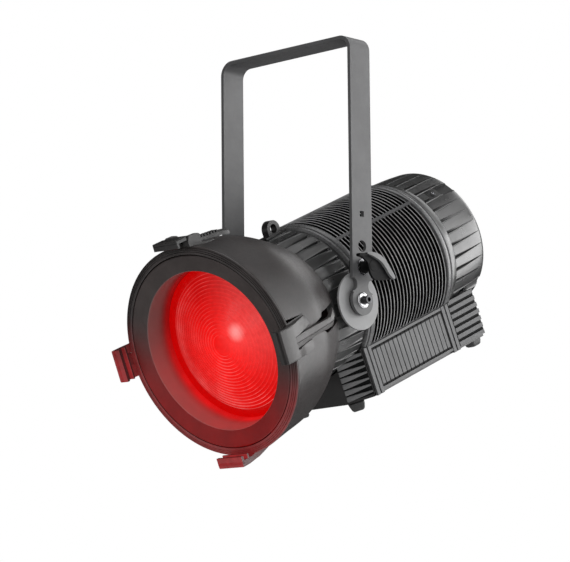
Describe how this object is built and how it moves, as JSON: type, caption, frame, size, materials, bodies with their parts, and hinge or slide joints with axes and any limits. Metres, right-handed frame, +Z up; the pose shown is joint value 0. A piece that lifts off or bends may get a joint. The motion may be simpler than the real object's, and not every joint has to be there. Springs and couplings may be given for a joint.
{
  "type": "fresnel spotlight",
  "caption": "Theatre fresnel spotlight: bowl-shaped hood with a recessed stepped lens, ring-finned body and driver box, tilting in a flat-bar yoke.",
  "frame": {"origin": "middle of the top face of the yoke, where a hanging clamp seats", "axes": "+X right along the tilt axis (brake side), -Y to the front, +Z up"},
  "size_m": [0.3194, 0.5849, 0.6023],
  "materials": {
    "coat_yoke": "satin powder coat, fine texture",
    "coat_casting": "cast, satin black coat",
    "anodised_black": "black anodised, satin",
    "anodised_edge": "charcoal anodised, satin",
    "black_plastic": "matte",
    "rubber": "matte",
    "lens_glass": "stepped, lit red",
    "clear_glass": "clear",
    "display_glass": "dark, glossy",
    "bright_steel": "zinc plated",
    "button_metal": "brushed",
    "panel_coat": "satin",
    "aluminium": "machined",
    "board_white": "matte",
    "phosphor": "glossy",
    "board_green": "satin",
    "inlet_blue": "satin",
    "outlet_grey": "satin"
  },
  "bodies": {
    "yoke": {"yoke_frame": "coat_yoke", "brake_stud": "bright_steel", "brake_washer": "bright_steel", "brake_pad": "rubber"},
    "brake": {"brake_lever": "black_plastic"},
    "latch": {"top_latch": "black_plastic"},
    "carriage": {"zoom_carriage": "anodised_edge", "zoom_lens": "clear_glass"},
    "screw": {"zoom_screw": "bright_steel"},
    "up_button": {"button_up": "button_metal"},
    "down_button": {"button_down": "button_metal"},
    "enter_button": {"button_enter": "button_metal"},
    "menu_button": {"button_menu": "button_metal"},
    "head": {"tilt_bolts": "bright_steel", "tilt_washers": "bright_steel", "friction_discs": "coat_yoke", "friction_washers": "rubber", "hood_shell": "coat_casting", "front_ring": "coat_casting", "bezel": "black_plastic", "lens": "lens_glass", "lens_seal": "rubber", "lens_retainer": "aluminium", "lens_holder": "black_plastic", "latch_bracket": "black_plastic", "slot_brackets": "black_plastic", "bracket_screws": "bright_steel", "latch_pin": "bright_steel", "front_casting": "coat_casting", "safety_eye": "coat_casting", "front_flange": "anodised_edge", "heatsink_core": "anodised_black", "heatsink_fins": "anodised_black", "tie_ribs": "anodised_edge", "rear_flange": "anodised_edge", "led_plate": "aluminium", "led_board": "board_white", "led_array": "phosphor", "reflector": "aluminium", "bulkhead": "anodised_edge", "guide_rods": "bright_steel", "zoom_motor": "black_plastic", "rear_cap": "coat_casting", "cap_screws": "bright_steel", "rear_panel": "panel_coat", "display_window": "display_glass", "power_inlet": "inlet_blue", "power_outlet": "outlet_grey", "data_inlet": "black_plastic", "data_outlet": "black_plastic", "vent_plug": "black_plastic", "driver_box": "coat_casting", "driver_board": "board_green", "side_rails": "anodised_edge", "box_straps": "anodised_edge", "side_grilles": "anodised_edge", "front_covers": "black_plastic", "rear_covers": "black_plastic", "base_plate": "coat_casting", "feet": "rubber"}
  },
  "joints": [
    {"name": "tilt", "type": "hinge", "parent": "yoke", "child": "head", "pos_m": [0, 0, -0.372], "axis": [1, 0, 0], "range_deg": [-60, 150]},
    {"name": "brake_turn", "type": "hinge", "parent": "yoke", "child": "brake", "pos_m": [0.13, 0, -0.326], "axis": [1, 0, 0], "range_deg": [-30, 85]},
    {"name": "latch_lift", "type": "hinge", "parent": "head", "child": "latch", "pos_m": [0.00553, -0.23456, -0.30198], "axis": [0.9994, 0.0149, -0.0315], "range_deg": [-95, 0], "stiffness_Nm_per_rad": 0.02, "springref_deg": 20.05},
    {"name": "zoom", "type": "slide", "parent": "head", "child": "carriage", "axis": [0, -0.9037, -0.4281], "range_m": [-0.008, 0.034]},
    {"name": "zoom_screw_turn", "type": "hinge", "parent": "head", "child": "screw", "pos_m": [0, -0.0231, -0.46339], "axis": [0, -0.9037, -0.4281], "range_deg": [-361, 1532]},
    {"name": "up_press", "type": "slide", "parent": "head", "child": "up_button", "axis": [0, -0.9037, -0.4281], "range_m": [0, 0.0015], "stiffness_N_per_m": 900, "springref_m": -0.0012},
    {"name": "down_press", "type": "slide", "parent": "head", "child": "down_button", "axis": [0, -0.9037, -0.4281], "range_m": [0, 0.0015], "stiffness_N_per_m": 900, "springref_m": -0.0012},
    {"name": "enter_press", "type": "slide", "parent": "head", "child": "enter_button", "axis": [0, -0.9037, -0.4281], "range_m": [0, 0.0015], "stiffness_N_per_m": 900, "springref_m": -0.0012},
    {"name": "menu_press", "type": "slide", "parent": "head", "child": "menu_button", "axis": [0, -0.9037, -0.4281], "range_m": [0, 0.0015], "stiffness_N_per_m": 900, "springref_m": -0.0012}
  ],
  "couplings": [
    {"joint": "zoom_screw_turn", "follows": "zoom", "rad_per_m": 785.4}
  ]
}
